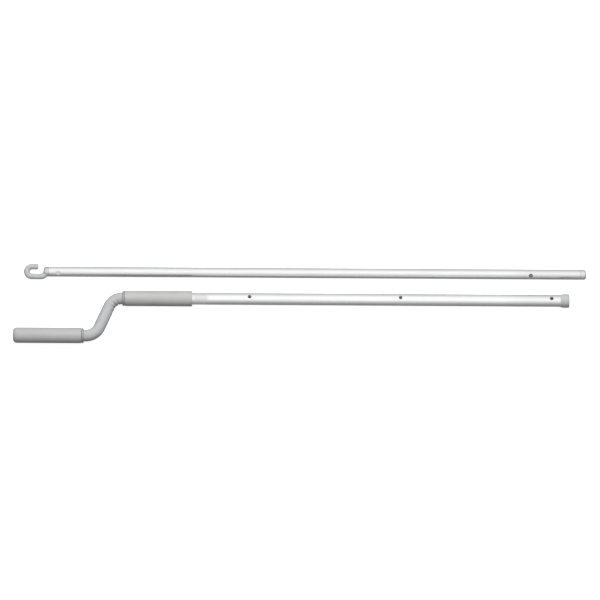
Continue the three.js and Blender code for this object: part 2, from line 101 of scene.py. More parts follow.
JOINT_PIN_BORE_R = 1.5 * MM
JOINT_PIN_SLOT = math.radians(22)
JOINT_SLEEVE_BORE_R = 8.7 * MM
GAP = 0.3 * MM

# Keeper of the lower grip
LEG_PLUG_HEAD = 3 * MM
LEG_PLUG_HOLE_R = 2.5 * MM
LEG_PLUG_HOLE_DEPTH = 23 * MM
LEG_PLUG_RIBS = 10
LEG_PLUG_RIB_DEPTH = 0.5 * MM
WASHER_BORE_R = 2.5 * MM
SCREW_HEAD = 2.7 * MM
SCREW_HEAD_ROUND = 1.9 * MM
SCREW_R = 2.2 * MM
THREAD_DEPTH = 0.45 * MM
THREAD_PITCH = 1.1 * MM
RECESS_DEPTH = 1.5 * MM
RECESS_HALF_WIDTH = 0.5 * MM
RECESS_LENGTH = 5 * MM

# Grips
GRIP_BORE_R = 14.6 * MM
GRIP_END_WALL = 4 * MM
GRIP_END_ROUND = 4.5 * MM
GRIP_EDGE = 0.7 * MM
SLEEVE_LIP_R = 13 * MM
SLEEVE_LIP_LENGTH = 2.5 * MM
LINER_R = 14.3 * MM
LINER_BORE_R = 12.8 * MM
FLANGE_LENGTH = 4.2 * MM
FLANGE_TAPER = 1.8 * MM
FLANGE_TAPER_R = 14.4 * MM

# Collar
COLLAR_BACK_R = 13.1 * MM
COLLAR_BACK_BEVEL = (1.4 * MM, 0.5 * MM)
COLLAR_RIM = 2.8 * MM
COLLAR_SWELL_ANGLE = math.radians(117)
COLLAR_BORE_R = 10.8 * MM
COLLAR_SEAT_R = 12.8 * MM
COLLAR_LIP = 3 * MM

# Hook rod
ROD_BORE_R = 9.3 * MM
TIP_ROUND = 4.4 * MM
BUTTON_FROM_TIP = 115.2 * MM
BUTTON_TILT = math.radians(35.5)
BUTTON_HOLE_R = 3.9 * MM
DIMPLE_FROM_PLUG = 19.7 * MM
DIMPLE_TILT = math.radians(37)
DIMPLE_R = 5.5 * MM
DIMPLE_DEPTH = 1.15 * MM
DIMPLE_BALL_R = 14 * MM
DIMPLE_BALL_SINK = 2.6 * MM

# Hook
HOOK_BAR_R = 6 * MM
HOOK_R = 10.9 * MM
HOOK_ARM = 13.5 * MM
HOOK_LEG = 17.9 * MM
HOOK_NECK_ANGLE = math.radians(55)
HOOK_TIP_ROUND = 1.8 * MM
BAR_WAY_GAP = 0.15 * MM
PLUG_FACE_LENGTH = 7 * MM
PLUG_FACE_DROP = 5 * MM

# Snap button and leaf spring, by heights out from the rod's axis. PRESS_FROM and PRESS_TO give two points
# on the line along which the button is pressed.
BUTTON_R = 3.3 * MM
BUTTON_TOP = 14.5 * MM
BUTTON_DOME = 2.4 * MM
BUTTON_TAIL_R = 1.5 * MM
LEAF_HEIGHT = 7.4 * MM
LEAF_THICKNESS = 0.8 * MM
LEAF_WIDTH = 7 * MM
LEAF_OVERHANG = 9 * MM
LEAF_REACH = 52 * MM
LEAF_BEND_R = 2.6 * MM
PRESS_FROM = -2.2 * MM
PRESS_TO = 6.4 * MM
PRESS_LEAN = 0.1


def span(node):
    """Ends, axis and radius of a node that lies along X, from its box."""
    low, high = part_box(node)
    return SimpleNamespace(
        left=low.x,
        right=high.x,
        y=(low.y + high.y) / 2,
        z=(low.z + high.z) / 2,
        radius=(high.z - low.z) / 2,
    )


tube = span("outer_tube")
arm = span("crank_arm")
rod = span("rod_tube")
lower_sleeve = span("lower_grip_sleeve")
upper_sleeve = span("upper_grip_sleeve")

# --- Centre lines: functions from a length s to (centre, side, up) --------------------------------------


def straight(origin, along=(1, 0, 0), up=(0, 0, 1)):
    """A straight line. Angles round it start at up and turn towards side."""
    origin, along, up = Vector(origin), Vector(along), Vector(up)
    side = along.cross(up)
    return lambda s: (origin + s * along, side, up)


def route(x, y, z, heading, runs):
    """A flat line from (x, y, z). runs are (length, curvature), curvature above 0 to the left."""
    starts = []
    s = 0
    for length, bend in runs:
        starts.append((s, x, y, heading, bend))
        if bend:
            turned_to = heading + bend * length
            x += (math.sin(turned_to) - math.sin(heading)) / bend
            y -= (math.cos(turned_to) - math.cos(heading)) / bend
            heading = turned_to
        else:
            x += length * math.cos(heading)
            y += length * math.sin(heading)
        s += length

    def at(s):
        start, x0, y0, heading0, bend = next(r for r in reversed(starts) if s >= r[0] or r[0] == 0)
        done = s - start
        now = heading0 + bend * done
        if bend:
            x0 += (math.sin(now) - math.sin(heading0)) / bend
            y0 -= (math.cos(now) - math.cos(heading0)) / bend
        else:
            x0 += done * math.cos(now)
            y0 += done * math.sin(now)
        return Vector((x0, y0, z)), Vector((math.sin(now), -math.cos(now), 0)), Vector((0, 0, 1))

    return at


tube_line = straight((0, tube.y, tube.z))
leg_line = straight((0, lower_sleeve.y, lower_sleeve.z))
rod_line = straight((0, rod.y, rod.z))

# --- Meshes ---------------------------------------------------------------------------------------------


def smoothed(mesh):
    mesh.shade_smooth()
    mesh.set_sharp_from_angle(angle=SHARP_ANGLE)


def as_object(name, work):
    """Makes a smooth-shaded object of a bmesh."""
    mesh = bpy.data.meshes.new(name)
    work.to_mesh(mesh)
    work.free()
    smoothed(mesh)
    obj = bpy.data.objects.new(name, mesh)
    scene.collection.objects.link(obj)
    return obj


class Shell:
    """Collects rings of points and the faces between them, and makes one object of them."""

    def __init__(self):
        self.points = []
        self.faces = []

    def add(self, points):
        first = len(self.points)
        self.points.extend(points)
        return list(range(first, len(self.points)))

    def bridge(self, a, b):
        """Joins two closed rings with the same number of points, or a ring and a single point."""
        count = max(len(a), len(b))
        for i in range(count):
            j = (i + 1) % count
            corners = [a[i % len(a)], a[j % len(a)], b[j % len(b)], b[i % len(b)]]
            self.faces.append(tuple(dict.fromkeys(corners)))

    def made(self, name):
        rough = bpy.data.meshes.new(name)
        rough.from_pydata(self.points, [], self.faces)
        work = bmesh.new()
        work.from_mesh(rough)
        bpy.data.meshes.remove(rough)
        bmesh.ops.remove_doubles(work, verts=work.verts, dist=TINY)
        bmesh.ops.recalc_face_normals(work, faces=work.faces)
        return as_object(name, work)


def spread(start, end, count):
    """count + 1 even values from start to end."""
    return [start + (end - start) * i / count for i in range(count + 1)]


def direction(side, up, angle):
    return up * math.cos(angle) + side * math.sin(angle)


def softened(outline, steps=5):
    """Rounds the corners of an outline of (s, radius, rounding).

    The outline is closed, unless it starts on the axis.
    """
    open_ended = outline[0][1] == 0
    last = len(outline) - 1
    soft = []
    for i, (s, radius, rounding) in enumerate(outline):
        here = Vector((s, radius))
        if not rounding or (open_ended and i in (0, last)):
            soft.append((s, radius))
            continue
        before = Vector(outline[i - 1][:2]) - here
        after = Vector(outline[(i + 1) % len(outline)][:2]) - here
        start = here + before.normalized() * min(rounding, before.length / 2)
        end = here + after.normalized() * min(rounding, after.length / 2)
        for t in spread(0, 1, steps):
            soft.append(tuple(start * (1 - t) ** 2 + here * 2 * t * (1 - t) + end * t * t))
    return soft


def turned(name, line, outline, sides=TUBE_SIDES, relief=lambda s, angle, radius: radius):
    """Turns an outline of (s, radius) about a line. relief gives the radius at a length and an angle."""
    shell = Shell()
    rings = []
    for s, radius in outline:
        centre, side, up = line(s)
        if radius < TINY:
            rings.append(shell.add([centre]))
            continue
        angles = spread(0, 2 * HALF_TURN, sides)[:-1]
        rings.append(shell.add([centre + relief(s, a, radius) * direction(side, up, a) for a in angles]))
    if outline[0][1] > 0:
        rings.append(rings[0])
    for a, b in zip(rings, rings[1:]):
        shell.bridge(a, b)
    return shell.made(name)


def drilled(name, line, stations, outer, inner, holes, edge, sides=TUBE_SIDES, rim=0.35 * MM):
    """A tube with round holes. outer and inner give its radii at (s, angle).

    edge rounds the tube's two ends, and rim the holes. holes are (s, angle, radius). Each takes a square
    patch of the grid, refilled with rings round the hole.
    """
    first, last = stations[0], stations[-1]
    easing = [edge * (1 - math.cos(a)) for a in spread(0, QUARTER_TURN, 4)]
    step = 2 * HALF_TURN / sides
    patches = []
    for s, angle, radius in holes:
        half = math.ceil((radius + 2.5 * rim) / (outer(s, angle) * step))
        reach = half * outer(s, angle) * step
        patches.append(SimpleNamespace(s=s, angle=angle, radius=radius, half=half, reach=reach))
    lines = [s for s in stations if first + edge < s < last - edge]
    lines += [first + e for e in easing] + [last - e for e in easing]
    for p in patches:
        lines = [s for s in lines if abs(s - p.s) > p.reach]
        lines += spread(p.s - p.reach, p.s + p.reach, 2 * p.half)
    lines = sorted(set(lines))
    turn = holes[0][1] if holes else 0
    angles = [turn + step * j for j in range(sides)]

    def inset(s):
        depth = edge - min(s - first, last - s)
        return edge - math.sqrt(max(edge * edge - depth * depth, 0)) if depth > 0 else 0

    shell = Shell()
    skins = []
    for radius_at, sign in ((outer, -1), (inner, 1)):
        rows = []
        for s in lines:
            centre, side, up = line(s)
            radii = [radius_at(s, a) + sign * inset(s) for a in angles]
            rows.append(shell.add([centre + r * direction(side, up, a) for r, a in zip(radii, angles)]))
        skins.append(rows)

    open_cells = set()
    for p in patches:
        p.column = round((p.angle - turn) / step)
        p.row = min(range(len(lines)), key=lambda i: abs(lines[i] - (p.s - p.reach)))
        for i in range(2 * p.half):
            open_cells.update((p.row + i, (p.column + j) % sides) for j in range(-p.half, p.half))
    for rows in skins:
        for i in range(len(lines) - 1):
            for j in range(sides):
                if (i, j) not in open_cells:
                    k = (j + 1) % sides
                    shell.faces.append((rows[i][j], rows[i][k], rows[i + 1][k], rows[i + 1][j]))
    for end in (0, -1):
        shell.bridge(skins[0][end], skins[1][end])

    for p in patches:
        centre, side, up = line(p.s)
        outer_r = outer(p.s, p.angle)
        inner_r = inner(p.s, p.angle)
        along = up.cross(side)
        out = direction(side, up, p.angle)
        across = direction(side, up, p.angle + QUARTER_TURN)
        low, high = -p.half, p.half
        top = p.row + 2 * p.half
        loop = [(p.row, j) for j in range(low, high)]
        loop += [(i, high) for i in range(p.row, top)]
        loop += [(top, j) for j in range(high, low, -1)]
        loop += [(i, low) for i in range(top, p.row, -1)]

        def flat(cell, radius):
            return Vector((lines[cell[0]] - p.s, radius * math.sin(cell[1] * step)))

        def ring(radius, size, drop, blend=0.0):
            """Points round the hole at size, or blended towards the patch's edge, on a wall of radius."""
            points = []
            for cell in loop:
                towards = flat(cell, outer_r)
                spot = towards.normalized() * size
                spot = spot.lerp(flat(cell, radius), blend)
                height = math.sqrt(radius * radius - spot.y * spot.y) - drop
                points.append(centre + along * spot.x + across * spot.y + out * height)
            return shell.add(points)

        edges = [[rows[i][(p.column + j) % sides] for i, j in loop] for rows in skins]
        rings = [edges[0]]
        rings += [ring(outer_r, p.radius + rim, 0, blend) for blend in (0.6, 0.25)]
        for a in spread(0, QUARTER_TURN, 4):
            rings.append(ring(outer_r, p.radius + rim * (1 - math.sin(a)), rim * (1 - math.cos(a))))
        rings += [ring(inner_r, p.radius, 0, blend) for blend in (0, 0.3, 0.65)]
        rings.append(edges[1])
        for a, b in zip(rings, rings[1:]):
            shell.bridge(a, b)
    return shell.made(name)


def slab(name, outline, origin, along, across, thick, depth, bevel):
    """A flat outline of (along, across) points, thickened by depth from origin, with bevelled edges."""
    origin, along, across, thick = Vector(origin), Vector(along), Vector(across), Vector(thick)
    work = bmesh.new()
    bottom = [work.verts.new(origin + along * x + across * y) for x, y in outline]
    top = [work.verts.new(v.co + thick * depth) for v in bottom]
    caps = [work.faces.new(bottom), work.faces.new(top[::-1])]
    for i in range(len(outline)):
        j = (i + 1) % len(outline)
        work.faces.new((bottom[i], bottom[j], top[j], top[i]))
    bmesh.ops.recalc_face_normals(work, faces=work.faces)
    rims = list({e for cap in caps for e in cap.edges})
    bmesh.ops.bevel(work, geom=rims, offset=bevel, segments=2, profile=0.5, affect="EDGES")
    return as_object(name, work)


def cut(obj, *tools):
    """Cuts the tools out of obj for good, and removes them."""
    for tool in tools:
        modifier = obj.modifiers.new("cut", "BOOLEAN")
        modifier.operation = "DIFFERENCE"
        modifier.solver = "EXACT"
        modifier.object = tool
    result = obj.evaluated_get(bpy.context.evaluated_depsgraph_get())
    mesh = bpy.data.meshes.new_from_object(result)
    obj.modifiers.clear()
    obj.data = mesh
    smoothed(mesh)
    for tool in tools:
        bpy.data.objects.remove(tool)
    return obj


def window(distance, half):
    """1 in the middle, falling smoothly to 0 at half."""
    return math.cos(QUARTER_TURN * min(abs(distance) / half, 1)) ** 2


# --- Crank section --------------------------------------------------------------------------------------

throw = tube.y - lower_sleeve.y
bend_straight = (throw - 2 * BEND_R * (1 - math.cos(BEND_ANGLE))) / math.sin(BEND_ANGLE)
bend_span = 2 * BEND_R * math.sin(BEND_ANGLE) + bend_straight * math.cos(BEND_ANGLE)
bend_length = BEND_R * BEND_ANGLE
bends_end = BEND_START + 2 * bend_length + bend_straight
arm_runs = [
    (BEND_START, 0),
    (bend_length, 1 / BEND_R),
    (bend_straight, 0),
    (bend_length, -1 / BEND_R),
    (arm.right - arm.left - BEND_START - bend_span, 0),
]
arm_length = sum(length for length, _ in arm_runs)
arm_line = route(arm.left, lower_sleeve.y, lower_sleeve.z, 0, arm_runs)
joint_x = tube.left - GAP
mouth_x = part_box("mouth_collar")[1].x
grip_mouth = upper_sleeve.right
keeper = span("upper_retaining_ring")

# The arm's two bends: the middle of each, the angle of its inner side, and the depth of its creases
BENDS = [
    (BEND_START + bend_length / 2, -QUARTER_TURN, RIPPLE_DEPTH),
    (bends_end - BEND_R * CREASE_MIDDLE, QUARTER_TURN, CREASE_DEPTH),
]


def bend_relief(s, angle):
    """How far the arm's wall sinks at its bends: creases inside each bend, and a flatter outside."""
    sunk = 0
    for middle, inner_side, depth in BENDS:
        inside = max(math.cos(angle - inner_side), 0)
        outside = max(-math.cos(angle - inner_side), 0)
        wave = (s - middle + CREASE_SLANT * (1 - inside)) / CREASE_PITCH
        creases = (0.5 + 0.5 * math.cos(2 * HALF_TURN * wave)) ** 2
        near = window(s - middle, CREASE_SPREAD * bend_length)
        sunk += near * (depth * inside**1.2 * creases + BEND_FLAT * outside**2)
    return sunk


def crank_arm():
    """The arm's stations are close together over its bends and far apart on its two legs."""
    bends = spread(BEND_START - 4 * MM, bends_end + 4 * MM, BEND_RINGS)
    stations = [0, *spread(20 * MM, BEND_START - 8 * MM, 6), *bends]
    stations += [*spread(bends[-1] + 6 * MM, arm_length - 10 * MM, 5), arm_length]
    pin = arm_length - (arm.right - (joint_x - JOINT_PIN_OFFSET))
    holes = [(pin, 0, JOINT_PIN_R), (pin, HALF_TURN, JOINT_PIN_R)]
    outer = lambda s, angle: arm.radius - bend_relief(s, angle)
    inner = lambda s, angle: TUBE_BORE_R - bend_relief(s, angle)
    return drilled("bent_arm", arm_line, stations, outer, inner, holes, edge=0.4 * MM)


def ring_dent(x):
    return sum(RING_DEPTH * window(x - grip_mouth - offset, RING_HALF) for offset in RING_OFFSETS)


def straight_tube():
    groove = (keeper.left - GAP, keeper.right + GAP)
    groove_slope = 0.02 * MM

    def outer(x, angle):
        if groove[0] <= x <= groove[1]:
            return KEEPER_GROOVE_R
        return tube.radius - ring_dent(x)

    stations = [tube.left, *spread(tube.left + 10 * MM, tube.right - 10 * MM, 40), tube.right]
    stations += [x + side for x in groove for side in (-groove_slope, groove_slope)]
    for offset in RING_OFFSETS:
        stations += spread(grip_mouth + offset - RING_HALF, grip_mouth + offset + RING_HALF, 12)
    lock_xs = [mouth_x - LOCK_LAST - i * LOCK_PITCH for i in range(LOCK_HOLES)]
    lock_holes = [(x, -LOCK_HOLE_LEAN, LOCK_HOLE_R) for x in lock_xs]
    pin_x = joint_x + JOINT_PIN_OFFSET
    pin_holes = [(pin_x, 0, JOINT_PIN_R), (pin_x, HALF_TURN, JOINT_PIN_R)]
    holes = lock_holes + pin_holes
    inner = lambda x, angle: TUBE_BORE_R - ring_dent(x)
    return drilled("straight_tube", tube_line, sorted(stations), outer, inner, holes, edge=0.3 * MM)


def joint_sleeve():
    sleeve = span("joint_sleeve")
    pin_xs = (joint_x - JOINT_PIN_OFFSET, joint_x + JOINT_PIN_OFFSET)
    holes = [(x, angle, JOINT_PIN_R) for x in pin_xs for angle in (0, HALF_TURN)]
    stations = spread(sleeve.left, sleeve.right, 10)
    outer = lambda x, angle: sleeve.radius
    inner = lambda x, angle: JOINT_SLEEVE_BORE_R
    sides = 2 * SMALL_SIDES
    return drilled("inner_sleeve", tube_line, stations, outer, inner, holes, edge=0.5 * MM, sides=sides)


def slotted_ring(outer, inner, slot):
    """Outline of a ring that is open on its first axis."""
    there = spread(slot, 2 * HALF_TURN - slot, 48)
    outline = [(outer * math.cos(a), outer * math.sin(a)) for a in there]
    return outline + [(inner * math.cos(a), inner * math.sin(a)) for a in reversed(there)]


def joint_pin(name, node):
    pin = span(node)
    outline = slotted_ring(JOINT_PIN_R, JOINT_PIN_BORE_R, JOINT_PIN_SLOT)
    origin = ((pin.left + pin.right) / 2, pin.y, pin.z - pin.radius)
    return slab(name, outline, origin, (1, 0, 0), (0, 1, 0), (0, 0, 1), 2 * pin.radius, 0.2 * MM)


def retaining_ring():
    outline = slotted_ring(keeper.radius, KEEPER_GROOVE_R + GAP, KEEPER_MOUTH)
    origin = (keeper.left, tube.y, tube.z)
    width = keeper.right - keeper.left
    return slab("grip_retainer", outline, origin, (0, 0, -1), (0, 1, 0), (1, 0, 0), width, 0.15 * MM)


def end_collar():
    """A barrel that swells from its back edge and rounds over at its rim."""
    collar = span("mouth_collar")
    lip = collar.right - COLLAR_LIP
    start = collar.left + COLLAR_BACK_BEVEL[0]
    start_r = COLLAR_BACK_R + COLLAR_BACK_BEVEL[1]
    barrel = []
    for t in spread(0, 1, 14):
        swell = math.sin(COLLAR_SWELL_ANGLE * t) * (collar.radius - start_r)
        barrel.append((start + t * (collar.right - COLLAR_RIM - start), start_r + swell, 0))
    rim_x, rim_r, _ = barrel[-1]
    for a in spread(0, QUARTER_TURN, 8)[1:]:
        barrel.append((rim_x + COLLAR_RIM * math.sin(a), rim_r - COLLAR_RIM * (1 - math.cos(a)), 0))
    outline = [
        (collar.left, COLLAR_BACK_R, 0.3 * MM),
        *barrel,
        (collar.right, COLLAR_BORE_R + 0.5 * MM, 0.2 * MM),
        (collar.right - 0.6 * MM, COLLAR_BORE_R, 0.2 * MM),
        (lip, COLLAR_BORE_R, 0.1 * MM),
        (lip, COLLAR_SEAT_R, 0),
        (collar.left, COLLAR_SEAT_R, 0.2 * MM),
    ]
    return turned("end_collar", tube_line, softened(outline))


# --- Keeper of the lower grip ---------------------------------------------------------------------------


def leg_plug():
    """A ribbed plug with a head, and a blind hole for the screw."""
    plug = span("lower_end_plug")
    head = plug.left + LEG_PLUG_HEAD
    hole_end = plug.left + LEG_PLUG_HOLE_DEPTH
    body_r = plug.radius - MM
    outline = [
        (plug.right, 0, 0),
        (hole_end, 0, 0),
        (hole_end, LEG_PLUG_HOLE_R, 0),
        (plug.left, LEG_PLUG_HOLE_R, 0.3 * MM),
        (plug.left, plug.radius, 0.5 * MM),
        (head, plug.radius, 0.3 * MM),
        (head + MM, body_r, 0.3 * MM),
        (plug.right - 2 * MM, body_r, 0.8 * MM),
        (plug.right, plug.radius - 3 * MM, 0.5 * MM),
        (plug.right, 0, 0),
    ]

    def ribbed(x, angle, radius):
        if radius < plug.radius - 1.5 * MM or x < head + MM:
            return radius
        return radius - LEG_PLUG_RIB_DEPTH * (0.5 + 0.5 * math.cos(LEG_PLUG_RIBS * angle)) ** 2

    return turned("leg_plug", leg_line, softened(outline), 2 * SMALL_SIDES, ribbed)


def leg_washer():
    washer = span("lower_end_washer")
    corners = [(washer.left, WASHER_BORE_R), (washer.left, washer.radius)]
    corners += [(washer.right, washer.radius), (washer.right, WASHER_BORE_R)]
    outline = [(x, r, 0.35 * MM) for x, r in corners]
    return turned("leg_washer", leg_line, softened(outline))


def leg_screw():
    """A domed screw with a cross recess. Its thread is a row of rings."""
    screw = span("lower_end_screw")
    seat = screw.left + SCREW_HEAD
    thread = []
    turns = int((screw.right - 3 * MM - seat) / THREAD_PITCH)
    for i in range(turns):
        x = seat + MM + i * THREAD_PITCH
        thread += [(x, SCREW_R - THREAD_DEPTH), (x + THREAD_PITCH / 2, SCREW_R)]
    outline = softened([
        (screw.left, 0, 0),
        (screw.left, screw.radius, SCREW_HEAD_ROUND),
        (seat, screw.radius, 0.2 * MM),
    ])
    outline += [(seat, SCREW_R), (seat + 0.6 * MM, SCREW_R), *thread, (screw.right, 0)]
    made = turned("leg_screw", leg_line, outline, SMALL_SIDES)
    deep, wide = RECESS_DEPTH, RECESS_HALF_WIDTH
    corners = [(-deep, -wide), (deep, -wide), (deep, wide), (-deep, wide)]
    slots = []
    for up, across in (((0, 0, 1), (0, 1, 0)), ((0, 1, 0), (0, 0, 1))):
        origin = Vector((screw.left, lower_sleeve.y, lower_sleeve.z)) - Vector(up) * RECESS_LENGTH / 2
        slots.append(slab("slot", corners, origin, (1, 0, 0), across, up, RECESS_LENGTH, 0.1 * MM))
    return cut(made, *slots)


# --- Grips ----------------------------------------------------------------------------------------------


def grip_core(name, node, line, side):
    """A hard liner with a flange. side is 1 where the flange is at its +X end."""
    core = span(node)
    flange, far = (core.right, core.left) if side > 0 else (core.left, core.right)
    seat = flange - side * FLANGE_LENGTH
    outline = [
        (far, LINER_BORE_R, 0.3 * MM),
        (far, LINER_R, 0.4 * MM),
        (seat, LINER_R, 0.2 * MM),
        (seat, core.radius, 0.4 * MM),
        (flange - side * FLANGE_TAPER, core.radius, 0.9 * MM),
        (flange, FLANGE_TAPER_R, 0.6 * MM),
        (flange, LINER_BORE_R, 0.3 * MM),
    ]
    return turned(name, line, softened(outline))


def lower_cover():
    sleeve = lower_sleeve
    outline = [
        (sleeve.left, 0, 0),
        (sleeve.left, sleeve.radius, 2 * GRIP_END_ROUND),
        (sleeve.right, sleeve.radius, GRIP_EDGE),
        (sleeve.right, GRIP_BORE_R, 0.3 * MM),
        (sleeve.left + GRIP_END_WALL, GRIP_BORE_R, MM),
        (sleeve.left + GRIP_END_WALL, 0, 0),
    ]
    return turned("lower_grip_cover", leg_line, softened(outline, 10))


def upper_cover():
    sleeve = upper_sleeve
    lip = sleeve.right - SLEEVE_LIP_LENGTH
    outline = [
        (sleeve.left, GRIP_BORE_R, 0.3 * MM),
        (sleeve.left, sleeve.radius, GRIP_EDGE),
        (sleeve.right, sleeve.radius, 1.2 * GRIP_EDGE),
        (sleeve.right, SLEEVE_LIP_R, 0.6 * MM),
        (lip, SLEEVE_LIP_R, 0),
        (lip, GRIP_BORE_R, 0),
    ]
    return turned("upper_grip_cover", tube_line, softened(outline, 10))


# --- Hook rod -------------------------------------------------------------------------------------------


def rod_wall():
    dimple_x = rod.left + DIMPLE_FROM_PLUG
    button_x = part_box("tip_plug")[1].x - BUTTON_FROM_TIP

    def dent(x, angle):
        round_it = rod.radius * math.remainder(angle - DIMPLE_TILT, 2 * HALF_TURN)
        away = math.hypot(x - dimple_x, round_it) / DIMPLE_R
        return DIMPLE_DEPTH * max(1 - away * away, 0) ** 1.4

    stations = [rod.left, *spread(rod.left + 8 * MM, dimple_x - 6 * MM, 3)]
    stations += spread(dimple_x - DIMPLE_R - 0.4 * MM, dimple_x + DIMPLE_R + 0.4 * MM, 24)
    stations += [*spread(dimple_x + 12 * MM, rod.right - 10 * MM, 40), rod.right]
    holes = [(button_x, BUTTON_TILT, BUTTON_HOLE_R)]
    outer = lambda x, angle: rod.radius - dent(x, angle)
    inner = lambda x, angle: ROD_BORE_R - dent(x, angle)
    return drilled("rod_wall", rod_line, stations, outer, inner, holes, edge=0.25 * MM, rim=0.25 * MM)


hook_box = span("hook")
neck_r = HOOK_R / (2 * (1 - math.cos(HOOK_NECK_ANGLE)))
neck_length = neck_r * HOOK_NECK_ANGLE
neck_span = 2 * neck_r * math.sin(HOOK_NECK_ANGLE)
bowl_x = hook_box.left + HOOK_BAR_R + HOOK_R
hook_runs = [
    (hook_box.right - bowl_x - HOOK_LEG - neck_span, 0),
    (neck_length, 1 / neck_r),
    (neck_length, -1 / neck_r),
    (HOOK_LEG, 0),
    (HOOK_R * HALF_TURN, -1 / HOOK_R),
    (HOOK_ARM, 0),
]
hook_length = sum(length for length, _ in hook_runs)
hook_line = route(hook_box.right, rod.y, rod.z, HALF_TURN, hook_runs)


def hook_sweep(name, extra, tip_round):
    """The hook's bar from its shank to its tip, with extra on its radius."""
    radius = HOOK_BAR_R + extra
    shank_end = 10 * MM
    start = softened([(0, 0, 0), (0, radius, 0.8 * MM), (shank_end, radius, 0), (0, 0, 0)])[:-2]
    middle = [(s, radius) for s in spread(shank_end, hook_length - 4 * MM, HOOK_RINGS)]
    tip = []
    for a in spread(0, QUARTER_TURN, 6):
        tip.append((hook_length - tip_round * (1 - math.sin(a)), radius - tip_round * (1 - math.cos(a))))
    return turned(name, hook_line, [*start, *middle, *tip, (hook_length, 0)], BAR_SIDES)


def hook_bar():
    return hook_sweep("hook_bar", 0, HOOK_TIP_ROUND)


def dimple_way():
    """A ball that clears the hook's plug where the rod's wall is punched in."""
    spot, side, up = rod_line(rod.left + DIMPLE_FROM_PLUG)
    out = direction(side, up, DIMPLE_TILT)
    centre = spot + out * (rod.radius - DIMPLE_BALL_SINK + DIMPLE_BALL_R)
    outline = [(centre.x - DIMPLE_BALL_R, 0)]
    for a in spread(0, HALF_TURN, 24)[1:-1]:
        outline.append((centre.x - DIMPLE_BALL_R * math.cos(a), DIMPLE_BALL_R * math.sin(a)))
    outline.append((centre.x + DIMPLE_BALL_R, 0))
    return turned("dimple_way", straight((0, centre.y, centre.z)), outline, SMALL_SIDES)


def hook_end_plug():
    """A plug with a domed face, cut for the hook's bar and for the rod's dimple."""
    low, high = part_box("hook_plug")
    head = rod.left - GAP
    radius = (high.z - low.z) / 2
    spigot_r = ROD_BORE_R - GAP
    outline = [(low.x, 0)]
    for a in spread(0, QUARTER_TURN, 12):
        x = low.x + PLUG_FACE_LENGTH * (1 - math.cos(a))
        outline.append((x, radius - PLUG_FACE_DROP * (1 - math.sin(a))))
    outline += softened([
        (low.x + 1.1 * PLUG_FACE_LENGTH, radius, 0),
        (head, radius, 0.3 * MM),
        (head, spigot_r, 0.2 * MM),
        (high.x, spigot_r, 0.5 * MM),
        (high.x, 0, 0),
    ])[1:-1]
    outline.append((high.x, 0))
    plug = turned("hook_end_plug", rod_line, outline)
    return cut(plug, hook_sweep("bar_way", BAR_WAY_GAP, 0), dimple_way())


def rod_tip():
    tip = span("tip_plug")
    seat = rod.right + GAP
    spigot_r = ROD_BORE_R - GAP
    outline = [
        (tip.left, 0, 0),
        (tip.left, spigot_r, MM),
        (seat, spigot_r, 0.2 * MM),
        (seat, tip.radius, 0.35 * MM),
        (tip.right, tip.radius, TIP_ROUND),
        (tip.right, 0, 0),
    ]
    return turned("rod_tip", rod_line, softened(outline, 10))


# --- Snap lock: the button and its leaf spring, leaned to the button's hole -----------------------------

lock_out = Vector((0, -math.sin(BUTTON_TILT), math.cos(BUTTON_TILT)))
lock_across = Vector((0, math.cos(BUTTON_TILT), math.sin(BUTTON_TILT)))
lock_centre = Vector((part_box("tip_plug")[1].x - BUTTON_FROM_TIP, rod.y, rod.z))

# Two points on the line along which the button is pressed, listed with the rod's and the button's bodies.
press_way = (lock_out + Vector((PRESS_LEAN, 0, 0))).normalized()
press_ends = [lock_centre + height * press_way for height in (PRESS_FROM, PRESS_TO)]
leaf_bends = ("hook_rod", "lock_button", *press_ends)


def lock_button():
    foot = LEAF_HEIGHT + LEAF_THICKNESS / 2 + GAP
    under = LEAF_HEIGHT - LEAF_THICKNESS / 2 - GAP
    outline = softened([
        (under - MM, 0, 0),
        (under - MM, BUTTON_TAIL_R + MM, 0.4 * MM),
        (under, BUTTON_TAIL_R + MM, 0.2 * MM),
        (under, BUTTON_TAIL_R, 0),
        (foot, BUTTON_TAIL_R, 0),
        (foot, BUTTON_R, 0.4 * MM),
        (BUTTON_TOP - BUTTON_DOME, BUTTON_R, 0),
        (BUTTON_TOP, 0, 0),
    ])[:-1]
    for a in spread(0, QUARTER_TURN, 10)[1:-1]:
        outline.append((BUTTON_TOP - BUTTON_DOME * (1 - math.sin(a)), BUTTON_R * math.cos(a)))
    outline.append((BUTTON_TOP, 0))
    return turned("lock_button_cap", straight(lock_centre, lock_out, (1, 0, 0)), outline, SMALL_SIDES)


